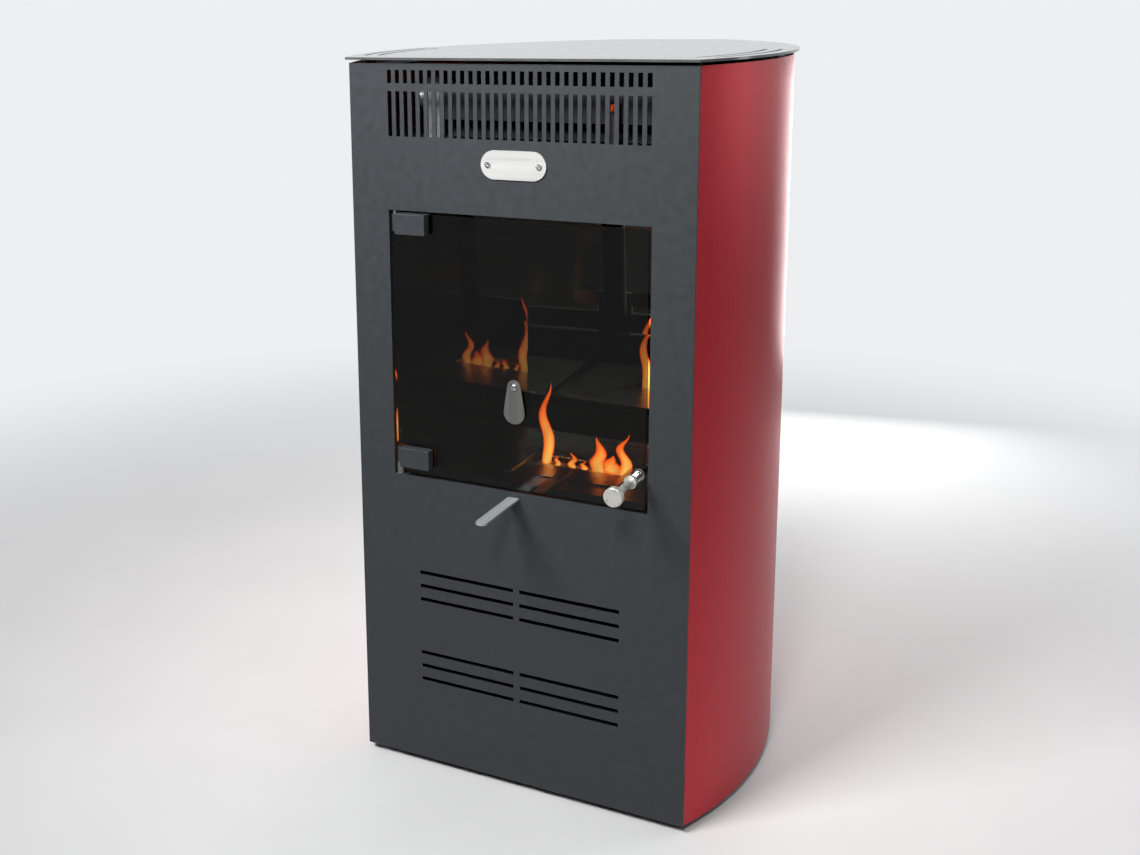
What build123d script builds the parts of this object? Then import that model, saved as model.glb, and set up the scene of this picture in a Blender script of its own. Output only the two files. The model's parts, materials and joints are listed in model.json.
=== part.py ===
"""Free-standing bioethanol stove with a glass door, a curved two-piece shell and a hot-air blower.

Millimetres. X runs to the right, Y runs backwards from the front panel's face, Z is up from the floor.
All pieces are drawn with y = 0 on the front panel's face, and save() moves them to the frame's origin,
which is the middle of the whole object's footprint.
"""
from build123d import *
from math import atan2, cos, pi, radians, sin, sqrt
import os

# Casing
PANEL_W = 446.0
PANEL_H = 920.0
PANEL_T = 2.0
PANEL_RIM = 4.0
FOOT_H = 10.0
BODY_DEPTH = 556.0
BACK_FLAT_HALF = 66.7
WIDEST_BEHIND_RIM = 185.0
BACK_CORNER_R = 20.0
SHELL_T = 1.5
SHELL_FRONT_FLANGE = 19.0
SHELL_BACK_EDGE = 44.0
REAR_PANEL_T = 1.5
REAR_LAP = 18.0
REAR_SCREW_R = 2.0
REAR_SCREW_ROWS = 4
REAR_SCREW_END = 30.0
VENT_COUNT = 8
VENT_L = 60.0
VENT_W = 5.0
VENT_PITCH = 14.0
VENT_Z = 700.0
PLATE_T = 3.0
PLATE_GAP = 4.0
PLATE_OVERHANG = 6.0
PLATE_FRONT_OVERHANG = 6.0
PLATE_SLOT_W = 5.0
PLATE_SLOT_INSETS = (18.0, 37.0)
PLATE_SLOT_Y = (45.0, 240.0)

# Grille, badge, air slots and the lever slot in the front panel
GRILLE_COUNT = 31
GRILLE_PITCH = 11.1
GRILLE_SLOT_W = 5.7
GRILLE_TOP_MARGIN = 8.0
GRILLE_SHORT = 16.0
GRILLE_BRIDGE = 9.5
GRILLE_LONG = 55.0
BADGE_W = 84.5
BADGE_H = 34.5
BADGE_T = 2.0
BADGE_BELOW_TOP = 117.5
BADGE_SCREW_X = 33.2
BADGE_SCREW_R = 2.0
AIR_SLOT_L = 133.3
AIR_SLOT_H = 5.3
AIR_SLOT_BRIDGE = 8.6
AIR_ROW_PITCH = 18.7
AIR_ROWS = 3
AIR_GROUP_Z = (256.7, 143.9)

# Door opening, glass and hinge
OPENING_W = 343.0
OPENING_BELOW_TOP = 179.5
OPENING_BOTTOM = 406.5
RETURN_DEPTH = 12.0
GLASS_T = 4.0
GLASS_RECESS = 0.5
GLASS_GAP = 3.5
CLAMP_W = 42.0
CLAMP_H = 26.0
CLAMP_PROUD = 11.0
CLAMP_INSET = 13.5
UPPER_CLAMP_BELOW = 2.5
LOWER_CLAMP_ABOVE = 13.5
CLAMP_BACK_T = 3.0
GASKET_T = 0.5
HINGE_X_INSET = 7.5
HINGE_Y = 3.0
PIN_R = 2.5
KNUCKLE_R = 4.0
KNUCKLE_INSET = 2.5
CLAMP_NECK = 6.0
RUNNING = 0.05
CLAMP_SCREW_R = 2.0
CLAMP_SCREW_SPACING = 24.0
PIN_HEAD_R = 4.5
PIN_HEAD_T = 3.0
PIN_ENGAGE = 14.0
BUSH_R = 4.6

# Swivelling cover over the lighting hole
COVER_PIVOT_Z = 543.0
COVER_DROP = 33.0
COVER_TOP_R = 8.8
COVER_LOW_R = 14.0
COVER_T = 1.5
LIGHTING_HOLE_R = 9.5
COVER_SPACER_T = 2.0
COVER_SPACER_R = 5.0
COVER_SCREW_R = 2.0
COVER_HEAD_R = 4.2
COVER_HEAD_T = 2.6

# Door knob and turning catch
KNOB_X = 160.5
KNOB_Z = 455.0
KNOB_REACH = 86.0
KNOB_HEAD_R = 11.5
KNOB_HEAD_T = 9.0
KNOB_NECK_R = 4.6
KNOB_COLLAR_R = 7.8
KNOB_COLLAR_T = 7.0
SPINDLE_R = 3.0
SPINDLE_FLANGE_T = 1.5
SPRING_WIRE_R = 0.95
SPRING_MEAN_R = 5.4
SPRING_TURNS = 7
SPRING_L = 23.0
SPINDLE_BUSH_R = 4.6
BUSH_FLANGE_R = 7.0
TONGUE_W = 12.0
TONGUE_L = 22.0
TONGUE_T = 2.0
TONGUE_BEHIND_RETURN = 2.0
NUT_T = 3.0

# Firebox
FLOOR_Z = 366.0
WALL_T = 1.5
FIREBOX_FRONT_HALF = 190.0
FIREBOX_BACK_HALF = 172.0
FIREBOX_BACK_Y = 412.0
FIREBOX_HEADROOM = 9.5
FIREBOX_FLANGE = 12.0
BACK_STRIP_H = 24.0
BACK_JOINT_Z = 517.0
BACK_LEAN_DEG = 2.5
ROOF_SLOT_L = 240.0
ROOF_SLOT_W = 22.0
ROOF_SLOT_INSET = 50.0

# Burner, regulating lid and its lever
COVER_Z = 378.0
BURNER_HALF = 173.0
BURNER_Y = (105.0, 330.0)
BURNER_SHEET = 1.5
BURNER_SLOT_HALF = 69.0
BURNER_SLOT_Y = (190.0, 226.0)
TANK_INSET = 16.0
TANK_DEPTH = 42.0
INSERT_CLEAR = 1.0
INSERT_SUNK = 6.0
LID_T = 2.0
LID_OVERLAP = 5.0
LID_TRAVEL = 48.0
LID_CLEAR = 0.2
GUIDE_W = 6.0
GUIDE_LIP = 3.0
GUIDE_T = 1.5
LEVER_X = -2.4
LEVER_W = 15.0
LEVER_T = 2.5
LEVER_REACH = 96.0
LEVER_SLOT_W = 16.0
LEVER_SLOT_H = 5.0
LEVER_Z = 398.5
LEVER_RAMP_Y = (16.0, 44.0)
LEVER_LAP = 26.0
RIVET_R = 2.2

# Frame
POST_LEG = 18.0
POST_T = 2.0
BASE_T = 2.0
BASE_LIFT = 2.0
TOP_FRAME_T = 2.0
TOP_FRAME_RIM = 46.0
TOP_FRAME_BELOW = 6.0
SPACER_R = 7.0
SPACER_BEHIND_WIDEST = 60.0
SPACER_BACK_INSET = 86.0
RAIL_H = 20.0
RAIL_T = 2.0
SHELF_T = 2.0
FIT_GAP = 0.3
HOLE_CLEAR = 0.1
FOOT_PAD_R = 17.0
FOOT_PAD_T = 6.0
FOOT_STUD_R = 4.0
FOOT_NUT_R = 6.5
FOOT_STUD_SPARE = 12.0
FOOT_NUT_T = 4.0
FOOT_PLACES = ((-180.0, 50.0), (180.0, 50.0), (-105.0, 455.0), (105.0, 455.0))

# Blower, lamp and thermostat
ROTOR_R = 28.0
ROTOR_BLADES = 32
ROTOR_BLADE_T = 0.8
ROTOR_BLADE_L = 8.0
ROTOR_DISC_T = 1.2
ROTOR_SECTION = 67.0
ROTOR_X = (-101.0, 168.0)
ROTOR_Y = 58.0
ROTOR_BELOW_TOP = 44.0
SHAFT_R = 3.0
SCROLL_CLEAR = 5.0
SCROLL_T = 1.2
HOUSING_FRONT_Y = 26.0
HOUSING_OUTLET_H = 22.0
MOTOR_L = 46.0
MOTOR_SIZE = 50.0
BEARING_R = 7.0
BEARING_L = 8.0
LAMP_X = 116.0
LAMP_R = 4.0
LAMP_L = 20.0
LAMP_FRONT = 6.0
LAMP_BELOW_TOP = 49.0
THERMOSTAT_R = 8.0
THERMOSTAT_H = 11.0
THERMOSTAT_AT = (60.0, 200.0)
THERMOSTAT_TAB = (0.8, 6.0, 8.0)

# Mains inlet with its rocker switch
INLET_W = 48.0
INLET_H = 62.0
INLET_FLANGE_T = 3.0
INLET_BODY_DEPTH = 30.0
INLET_Z = 95.0
SOCKET_W = 23.0
SOCKET_H = 16.0
SOCKET_DEPTH = 20.0
SOCKET_PIN_L = 13.5
SOCKET_PIN_PITCH = 7.0
ROCKER_W = 12.0
ROCKER_H = 19.0
ROCKER_TILT = 7.0
ROCKER_PIN_R = 1.5
SOCKET_Z = INLET_Z - 13.0
ROCKER_Z = INLET_Z + 15.0
ROCKER_Y = BODY_DEPTH - SHELL_T + INLET_FLANGE_T - 1.5

# Values that follow from the ones above
BOTTOM = FOOT_H
TOP = FOOT_H + PANEL_H
WIDEST_Y = PANEL_RIM + WIDEST_BEHIND_RIM
CORNER_X, CORNER_Y = BACK_FLAT_HALF, BODY_DEPTH - BACK_CORNER_R
SHELL_INNER_Y = PANEL_RIM + SHELL_T
BASE_Z = BOTTOM + BASE_LIFT
BASE_TOP = BASE_Z + BASE_T
FRAME_TOP = TOP - TOP_FRAME_BELOW
FRAME_BOTTOM = FRAME_TOP - TOP_FRAME_T
PLATE_Z = TOP + PLATE_GAP
OPENING_TOP = TOP - OPENING_BELOW_TOP
FIREBOX_TOP = OPENING_TOP + FIREBOX_HEADROOM
OPENING_HALF = OPENING_W / 2
GLASS_Y = GLASS_RECESS
GLASS_BACK = GLASS_RECESS + GLASS_T
GLASS_HALF = OPENING_HALF - GLASS_GAP
HINGE_X = -OPENING_HALF + HINGE_X_INSET
CLAMP_X = -OPENING_HALF + CLAMP_INSET
LOWER_CLAMP_Z = OPENING_BOTTOM + LOWER_CLAMP_ABOVE
UPPER_CLAMP_Z = OPENING_TOP - UPPER_CLAMP_BELOW - CLAMP_H
NOTCH_X = CLAMP_X + 2.5
FRONT_POST_X = PANEL_W / 2 - SHELL_T - SHELL_FRONT_FLANGE
TONGUE_Y = RETURN_DEPTH + TONGUE_BEHIND_RETURN
TANK_BOTTOM = FLOOR_Z - TANK_DEPTH
SHELF_Z = TANK_BOTTOM - SHELF_T
REAR_POST_Y = FIREBOX_BACK_Y + 20.0
REAR_POST_X = FIREBOX_BACK_HALF - POST_LEG
ROTOR_Z = TOP - ROTOR_BELOW_TOP
LAMP_Z = TOP - LAMP_BELOW_TOP
SCROLL_R = ROTOR_R + SCROLL_CLEAR
FAN_SHELF_Z = TOP - GRILLE_TOP_MARGIN - GRILLE_SHORT - GRILLE_BRIDGE - GRILLE_LONG - 5.0
LEVER_LID_Z = COVER_Z + LID_CLEAR + LID_T
LID_FRONT = BURNER_SLOT_Y[0] - LID_TRAVEL - LID_OVERLAP / 2
LID_BACK = LID_FRONT + BURNER_SLOT_Y[1] - BURNER_SLOT_Y[0] + LID_OVERLAP
ORIGIN_Y = (BODY_DEPTH + PLATE_OVERHANG - LEVER_REACH) / 2


def side_circle():
    """Radius and middle in X of the side's arc, from the panel's edge to the back corner's own circle."""
    edge, to_corner = PANEL_W / 2, CORNER_Y - WIDEST_Y
    span = edge - CORNER_X
    q = BACK_CORNER_R / span
    p = (edge**2 - CORNER_X**2 + WIDEST_BEHIND_RIM**2 - to_corner**2 + BACK_CORNER_R**2) / (2 * span)
    a, b, c = 1 - q**2, -2 * q * (edge - p), -((edge - p) ** 2) - WIDEST_BEHIND_RIM**2
    r = (-b + sqrt(b**2 - 4 * a * c)) / (2 * a)
    return r, p - q * r


SIDE_R, SIDE_CX = side_circle()


def block(x0, x1, y0, y1, z0, z1):
    """A box between two corners."""
    return Pos((x0 + x1) / 2, (y0 + y1) / 2, (z0 + z1) / 2) * Box(x1 - x0, y1 - y0, z1 - z0)


def rod_x(x0, x1, y, z, r):
    return Pos((x0 + x1) / 2, y, z) * Rot(0, 90, 0) * Cylinder(r, x1 - x0)


def rod_y(y0, y1, x, z, r):
    return Pos(x, (y0 + y1) / 2, z) * Rot(90, 0, 0) * Cylinder(r, y1 - y0)


def rod_z(z0, z1, x, y, r):
    return Pos(x, y, (z0 + z1) / 2) * Cylinder(r, z1 - z0)


def rect(x0, x1, z0, z1):
    """A flat rectangle between two corners of a sketch."""
    return Pos((x0 + x1) / 2, (z0 + z1) / 2) * Rectangle(x1 - x0, z1 - z0)


def upright(sketch, y0, y1):
    """A sketch in X and Z made solid from y0 to y1."""
    plane = Plane(origin=(0, y0, 0), x_dir=(1, 0, 0), z_dir=(0, -1, 0))
    return extrude(plane * sketch, amount=-(y1 - y0))


def level(sketch, z0, z1):
    """A plan sketch made solid from z0 to z1."""
    return extrude(Pos(0, 0, z0) * sketch, amount=z1 - z0)


def across(sketch, x0, x1):
    """A sketch in Y and Z made solid from x0 to x1."""
    plane = Plane(origin=(x0, 0, 0), x_dir=(0, 1, 0), z_dir=(1, 0, 0))
    return extrude(plane * sketch, amount=x1 - x0)


def polygon(*points):
    return make_face(Polyline(*points, close=True))


def mirrored(shape):
    return mirror(shape, about=Plane.YZ)


def group(shapes):
    return Compound(children=list(shapes))


def side_x(y, grow=0.0):
    """How far the body's curved side stands from the middle at y."""
    return SIDE_CX + sqrt((SIDE_R + grow) ** 2 - (y - WIDEST_Y) ** 2)


def plan_outline(grow, front):
    """The body's plan, grown outwards by grow, with a straight front at y = front."""
    side_r, corner_r = SIDE_R + grow, BACK_CORNER_R + grow
    turn = atan2(CORNER_Y - WIDEST_Y, CORNER_X - SIDE_CX)

    def on_side(a):
        return (SIDE_CX + side_r * cos(a), WIDEST_Y + side_r * sin(a))

    def on_corner(a):
        return (CORNER_X + corner_r * cos(a), CORNER_Y + corner_r * sin(a))

    start = -atan2(WIDEST_Y - front, side_x(front, grow) - SIDE_CX)
    right = [on_side(start), on_side((start + turn) / 2), on_side(turn)]
    corner = [on_side(turn), on_corner((turn + pi / 2) / 2), on_corner(pi / 2)]

    def flip(points):
        return [(-x, y) for x, y in reversed(points)]

    edges = [
        Line(flip(right)[-1], right[0]),
        ThreePointArc(*right),
        ThreePointArc(*corner),
        Line(corner[-1], flip(corner)[0]),
        ThreePointArc(*flip(corner)),
        ThreePointArc(*flip(right)),
    ]
    return make_face(edges)


def grille_slots():
    """Centres and sizes of the two rows of warm-air slots."""
    short_top = TOP - GRILLE_TOP_MARGIN
    long_top = short_top - GRILLE_SHORT - GRILLE_BRIDGE
    rows = ((short_top - GRILLE_SHORT, short_top), (long_top - GRILLE_LONG, long_top))
    first = -(GRILLE_COUNT - 1) / 2 * GRILLE_PITCH
    for i in range(GRILLE_COUNT):
        x = first + i * GRILLE_PITCH
        for z0, z1 in rows:
            yield rect(x - GRILLE_SLOT_W / 2, x + GRILLE_SLOT_W / 2, z0, z1)


def air_slots():
    """Two groups of paired slots low in the panel."""
    for middle in AIR_GROUP_Z:
        for row in range(AIR_ROWS):
            z = middle + (row - (AIR_ROWS - 1) / 2) * AIR_ROW_PITCH
            for sign in (-1, 1):
                x = sign * (AIR_SLOT_BRIDGE + AIR_SLOT_L) / 2
                yield Pos(x, z) * Rectangle(AIR_SLOT_L, AIR_SLOT_H)


def front_panel():
    half = PANEL_W / 2
    face = rect(-half, half, BOTTOM, TOP)
    for slot in (*grille_slots(), *air_slots()):
        face -= slot
    face -= rect(-OPENING_HALF, OPENING_HALF, OPENING_BOTTOM, OPENING_TOP)
    lever_half = LEVER_SLOT_W / 2
    face -= rect(LEVER_X - lever_half, LEVER_X + lever_half,
                 LEVER_Z - LEVER_SLOT_H / 2, LEVER_Z + LEVER_SLOT_H / 2)
    for x in (-BADGE_SCREW_X, BADGE_SCREW_X):
        face -= Pos(x, TOP - BADGE_BELOW_TOP) * Circle(BADGE_SCREW_R + HOLE_CLEAR)
    panel = upright(face, 0, PANEL_T)
    rim = rect(-half, half, BOTTOM, TOP) - rect(-half + PANEL_T, half - PANEL_T, BOTTOM + PANEL_T, TOP - PANEL_T)
    panel += upright(rim, 0, PANEL_RIM)
    outer = OPENING_HALF + PANEL_T
    returns = rect(-outer, outer, OPENING_BOTTOM - PANEL_T, OPENING_TOP + PANEL_T)
    returns -= rect(-OPENING_HALF, OPENING_HALF, OPENING_BOTTOM, OPENING_TOP)
    panel += upright(returns, 0, RETURN_DEPTH)
    for z0, z1 in ((OPENING_BOTTOM - PANEL_T, OPENING_BOTTOM), (OPENING_TOP, OPENING_TOP + PANEL_T)):
        panel -= rod_z(z0 - 1, z1 + 1, HINGE_X, HINGE_Y, PIN_R + HOLE_CLEAR)
    return panel


def right_shell():
    """The right side: curved sheet with a front flange, ending on the flat of the back."""
    outer = plan_outline(0, PANEL_RIM)
    inner = plan_outline(-SHELL_T, PANEL_RIM + SHELL_T)
    sheet = outer - inner
    reach = PANEL_W
    sheet -= rect(-reach, SHELL_BACK_EDGE, 0, BODY_DEPTH + 1)
    sheet -= rect(0, FRONT_POST_X, 0, WIDEST_Y)
    return level(sheet, BOTTOM, TOP)


def rear_panel():
    half = SHELL_BACK_EDGE + REAR_LAP
    back = BODY_DEPTH - SHELL_T
    sheet = rect(-half, half, BASE_TOP, FRAME_BOTTOM)
    sheet -= Pos(0, INLET_Z) * Rectangle(INLET_W - 6.0, INLET_H - 6.0)
    for x, z in rear_screw_places():
        sheet -= Pos(x, z) * Circle(REAR_SCREW_R + HOLE_CLEAR)
    for i in range(VENT_COUNT):
        sheet -= Pos(0, VENT_Z + i * VENT_PITCH) * SlotOverall(VENT_L, VENT_W)
    return upright(sheet, back - REAR_PANEL_T, back)


def rear_screw_places():
    """Both edges of the rear panel, in even rows."""
    x = SHELL_BACK_EDGE + REAR_LAP / 2
    step = (FRAME_BOTTOM - BASE_TOP - 2 * REAR_SCREW_END) / (REAR_SCREW_ROWS - 1)
    return [(sign * x, BASE_TOP + REAR_SCREW_END + i * step) for i in range(REAR_SCREW_ROWS) for sign in (-1, 1)]


def rear_panel_screws():
    """Pan-head screws through the shells' back edges."""
    screws = []
    for x, z in rear_screw_places():
        shank = rod_y(BODY_DEPTH - SHELL_T - REAR_PANEL_T - 3.0, BODY_DEPTH, x, z, REAR_SCREW_R)
        screws.append(shank + rod_y(BODY_DEPTH, BODY_DEPTH + 2.0, x, z, 2 * REAR_SCREW_R))
    return group(screws)


def shell_with_holes(shell):
    for x, z in rear_screw_places():
        shell -= rod_y(BODY_DEPTH - SHELL_T - 1, BODY_DEPTH + 1, x, z, REAR_SCREW_R + HOLE_CLEAR)
    return shell


def top_plate():
    """The overhanging plate, with two curved slots down each side."""
    plan = plan_outline(PLATE_OVERHANG, -PLATE_FRONT_OVERHANG)
    for inset in PLATE_SLOT_INSETS:
        r = SIDE_R + PLATE_OVERHANG - inset
        ends = [(y - WIDEST_Y) / r for y in PLATE_SLOT_Y]
        points = [(SIDE_CX + r * sqrt(1 - t * t), WIDEST_Y + r * t) for t in (ends[0], sum(ends) / 2, ends[1])]
        slot = SlotArc(ThreePointArc(*points), PLATE_SLOT_W)
        plan = plan - slot - mirror(slot, about=Plane.YZ)
    return level(plan, PLATE_Z, PLATE_Z + PLATE_T)


def spacer_places():
    """Where the top plate stands on its frame."""
    inset = TOP_FRAME_RIM / 2
    for y in (SHELL_INNER_Y + inset, WIDEST_Y + SPACER_BEHIND_WIDEST, BODY_DEPTH - SPACER_BACK_INSET):
        for sign in (-1, 1):
            yield sign * (side_x(y) - inset - SHELL_T), y


def plate_spacers():
    return group(rod_z(FRAME_TOP, PLATE_Z, x, y, SPACER_R) for x, y in spacer_places())


def top_frame():
    """A flat ring inside the shells' top edge."""
    ring = plan_outline(-SHELL_T - FIT_GAP, SHELL_INNER_Y + FIT_GAP)
    hole = rect(-PANEL_W, PANEL_W, SHELL_INNER_Y + TOP_FRAME_RIM, BODY_DEPTH - SHELL_T - TOP_FRAME_RIM)
    for sign in (-1, 1):
        hole &= Pos(sign * SIDE_CX, WIDEST_Y) * Circle(SIDE_R - SHELL_T - TOP_FRAME_RIM)
    ring -= hole
    ring -= rect(-PANEL_W, PANEL_W, BODY_DEPTH - SHELL_T - REAR_PANEL_T - FIT_GAP, BODY_DEPTH)
    return level(ring, FRAME_BOTTOM, FRAME_TOP)


def base_plate():
    plan = plan_outline(-SHELL_T - FIT_GAP, SHELL_INNER_Y + FIT_GAP)
    for x, y in FOOT_PLACES:
        plan -= Pos(x, y) * Circle(FOOT_STUD_R + HOLE_CLEAR)
    return level(plan, BASE_Z, BASE_TOP)


def foot_pads():
    return group(rod_z(0, FOOT_PAD_T, x, y, FOOT_PAD_R) for x, y in FOOT_PLACES)


def foot_studs():
    return group(rod_z(FOOT_PAD_T, BASE_TOP + FOOT_STUD_SPARE, x, y, FOOT_STUD_R) for x, y in FOOT_PLACES)


def foot_nuts():
    """A hexagon nut under and over the base plate at each stud."""
    nuts = []
    for x, y in FOOT_PLACES:
        for z in (BASE_Z - FOOT_NUT_T, BASE_TOP):
            plan = Pos(x, y) * (RegularPolygon(FOOT_NUT_R, 6) - Circle(FOOT_STUD_R + HOLE_CLEAR))
            nuts.append(level(plan, z, z + FOOT_NUT_T))
    return group(nuts)


def angle_post(x, y, inward):
    """An upright of angle section: one leg along X, one along Y."""
    x0, x1 = sorted((x, x + POST_LEG))
    plan = rect(x0, x1, y, y + POST_T) + rect(x0, x0 + POST_T, min(y, y + inward), max(y + POST_T, y + inward))
    return level(plan, BASE_TOP, FRAME_BOTTOM)


def front_posts():
    right = angle_post(FRONT_POST_X, SHELL_INNER_Y, POST_LEG)
    return group((right, mirrored(right)))


def rear_posts():
    right = angle_post(REAR_POST_X, REAR_POST_Y, POST_LEG)
    return group((right, mirrored(right)))


def side_rails():
    """Flat bars from each front post to the rear post, under the burner shelf."""
    z1 = SHELF_Z
    front = (FRONT_POST_X, SHELL_INNER_Y + POST_LEG)
    back = (REAR_POST_X + POST_T, REAR_POST_Y)
    plan = polygon(front, (front[0] + RAIL_T, front[1]), back, (back[0] - RAIL_T, back[1]))
    right = level(plan, z1 - RAIL_H, z1)
    return group((right, mirrored(right)))


def support_shelf():
    """The shelf that carries the fuel tank, between the side rails."""
    x0 = FRONT_POST_X + RAIL_T
    x1 = REAR_POST_X + POST_T
    y0, y1 = SHELL_INNER_Y + POST_LEG, REAR_POST_Y - FIT_GAP
    return level(polygon((-x0, y0), (x0, y0), (x1, y1), (-x1, y1)), SHELF_Z, SHELF_Z + SHELF_T)


def wall_x(y):
    """The inner face of the firebox side, which closes in towards the back."""
    share = (y - PANEL_T) / (FIREBOX_BACK_Y - PANEL_T)
    return FIREBOX_FRONT_HALF + share * (FIREBOX_BACK_HALF - FIREBOX_FRONT_HALF)


def firebox_right_wall():
    y0, y1 = PANEL_T, FIREBOX_BACK_Y + WALL_T
    x0, x1 = wall_x(y0), wall_x(y1)
    plan = polygon((x0, y0), (x0 + FIREBOX_FLANGE, y0), (x0 + FIREBOX_FLANGE, y0 + WALL_T),
                   (x0 + WALL_T, y0 + WALL_T), (x1 + WALL_T, y1), (x1, y1))
    return level(plan, FLOOR_Z - WALL_T, FIREBOX_TOP + WALL_T)


def firebox_plan():
    y0, y1 = PANEL_T, FIREBOX_BACK_Y
    return polygon((-wall_x(y0), y0), (wall_x(y0), y0), (wall_x(y1), y1), (-wall_x(y1), y1))


def firebox_floor():
    plan = firebox_plan() - tank_plan(0)
    return level(plan, FLOOR_Z - WALL_T, FLOOR_Z)


def firebox_roof():
    plan = firebox_plan() - Pos(0, FIREBOX_BACK_Y - ROOF_SLOT_INSET) * SlotOverall(ROOF_SLOT_L, ROOF_SLOT_W)
    return level(plan, FIREBOX_TOP, FIREBOX_TOP + WALL_T)


def firebox_back_lower():
    half = wall_x(FIREBOX_BACK_Y + WALL_T)
    return block(-half, half, FIREBOX_BACK_Y, FIREBOX_BACK_Y + WALL_T, FLOOR_Z - WALL_T, BACK_JOINT_Z)


def firebox_back_upper():
    """The upper sheet leans forward over the fire."""
    rise = FIREBOX_TOP - BACK_JOINT_Z
    lean = rise * sin(radians(BACK_LEAN_DEG))
    y = FIREBOX_BACK_Y
    side = polygon((y, BACK_JOINT_Z), (y + WALL_T, BACK_JOINT_Z), (y + WALL_T - lean, FIREBOX_TOP),
                   (y - lean, FIREBOX_TOP))
    half = wall_x(y + WALL_T)
    return across(side, -half, half)


def firebox_rear_strip():
    half = wall_x(FIREBOX_BACK_Y)
    return block(-half, half, FIREBOX_BACK_Y - WALL_T, FIREBOX_BACK_Y, FLOOR_Z, FLOOR_Z + BACK_STRIP_H)


def tank_plan(inset):
    half = BURNER_HALF - TANK_INSET - inset
    return rect(-half, half, BURNER_Y[0] + TANK_INSET + inset, BURNER_Y[1] - TANK_INSET - inset)


def burner_tank():
    """An open fuel box that hangs in the floor by its flange."""
    box = level(tank_plan(0), TANK_BOTTOM, FLOOR_Z)
    edge = BURNER_SHEET + FIT_GAP
    box += block(-BURNER_HALF + edge, BURNER_HALF - edge, BURNER_Y[0] + edge, BURNER_Y[1] - edge,
                 FLOOR_Z, FLOOR_Z + BURNER_SHEET)
    return box - level(tank_plan(BURNER_SHEET), TANK_BOTTOM + BURNER_SHEET, FLOOR_Z + 2 * BURNER_SHEET)


def burner_slot():
    return rect(-BURNER_SLOT_HALF, BURNER_SLOT_HALF, *BURNER_SLOT_Y)


def burner_cover():
    """A shallow upturned tray over the tank, with the fire slot in it."""
    t = BURNER_SHEET
    cover = block(-BURNER_HALF, BURNER_HALF, *BURNER_Y, FLOOR_Z, COVER_Z)
    cover -= block(-BURNER_HALF + t, BURNER_HALF - t, BURNER_Y[0] + t, BURNER_Y[1] - t, FLOOR_Z, COVER_Z - t)
    return cover - level(burner_slot(), FLOOR_Z, COVER_Z + 1)


def ceramic_insert():
    """Ceramic wool that fills the slot, down to the bottom of the tank."""
    c = INSERT_CLEAR
    return block(-BURNER_SLOT_HALF + c, BURNER_SLOT_HALF - c, BURNER_SLOT_Y[0] + c, BURNER_SLOT_Y[1] - c,
                 TANK_BOTTOM + BURNER_SHEET, COVER_Z - INSERT_SUNK)


def lid_half():
    return BURNER_SLOT_HALF + LID_OVERLAP


def lid_guides():
    """Two lipped rails that the regulating lid runs in."""
    x0 = lid_half() + LID_CLEAR
    y0, y1 = LID_FRONT - LID_OVERLAP, LID_BACK + LID_TRAVEL + LID_OVERLAP
    lip_z = COVER_Z + LID_T + 2 * LID_CLEAR
    right = block(x0, x0 + GUIDE_W, y0, y1, COVER_Z, lip_z)
    right += block(x0 - GUIDE_LIP, x0 + GUIDE_W, y0, y1, lip_z, lip_z + GUIDE_T)
    return group((right, mirrored(right)))


def burner_lid():
    half = lid_half()
    z = COVER_Z + LID_CLEAR
    lid = block(-half, half, LID_FRONT, LID_BACK, z, z + LID_T)
    for x in rivet_places():
        lid -= rod_z(z - 1, z + LID_T + 1, x, LID_FRONT + LEVER_LAP / 2, RIVET_R + HOLE_CLEAR)
    return lid


def rivet_places():
    return (LEVER_X - LEVER_W / 4, LEVER_X + LEVER_W / 4)


def regulator_lever():
    """A flat bar with a rounded end, stepped down from the panel's slot to the lid."""
    t = LEVER_T
    low, high = LEVER_LID_Z, LEVER_Z - t / 2
    y0, y1 = LEVER_RAMP_Y
    side = polygon((-LEVER_REACH, high), (y0, high), (y1, low), (LID_FRONT + LEVER_LAP, low),
                   (LID_FRONT + LEVER_LAP, low + t), (y1, low + t), (y0, high + t), (-LEVER_REACH, high + t))
    half = LEVER_W / 2
    bar = across(side, LEVER_X - half, LEVER_X + half)
    plan = rect(LEVER_X - half, LEVER_X + half, -LEVER_REACH + half, LID_BACK)
    plan += Pos(LEVER_X, -LEVER_REACH + half) * Circle(half)
    bar &= level(plan, low - 1, high + 2 * t)
    for x in rivet_places():
        bar -= rod_z(low - 1, low + t + 1, x, LID_FRONT + LEVER_LAP / 2, RIVET_R + HOLE_CLEAR)
    return bar


def lever_rivets():
    rivets = []
    for x in rivet_places():
        y, top = LID_FRONT + LEVER_LAP / 2, LEVER_LID_Z + LEVER_T
        rivets.append(rod_z(LEVER_LID_Z - LID_T, top, x, y, RIVET_R) + rod_z(top, top + 1.2, x, y, 1.5 * RIVET_R))
    return group(rivets)


def clamp_screw_places():
    for z in (LOWER_CLAMP_Z, UPPER_CLAMP_Z):
        for sign in (-1, 1):
            yield CLAMP_X + CLAMP_W / 2 + sign * CLAMP_SCREW_SPACING / 2, z + CLAMP_H / 2


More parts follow.
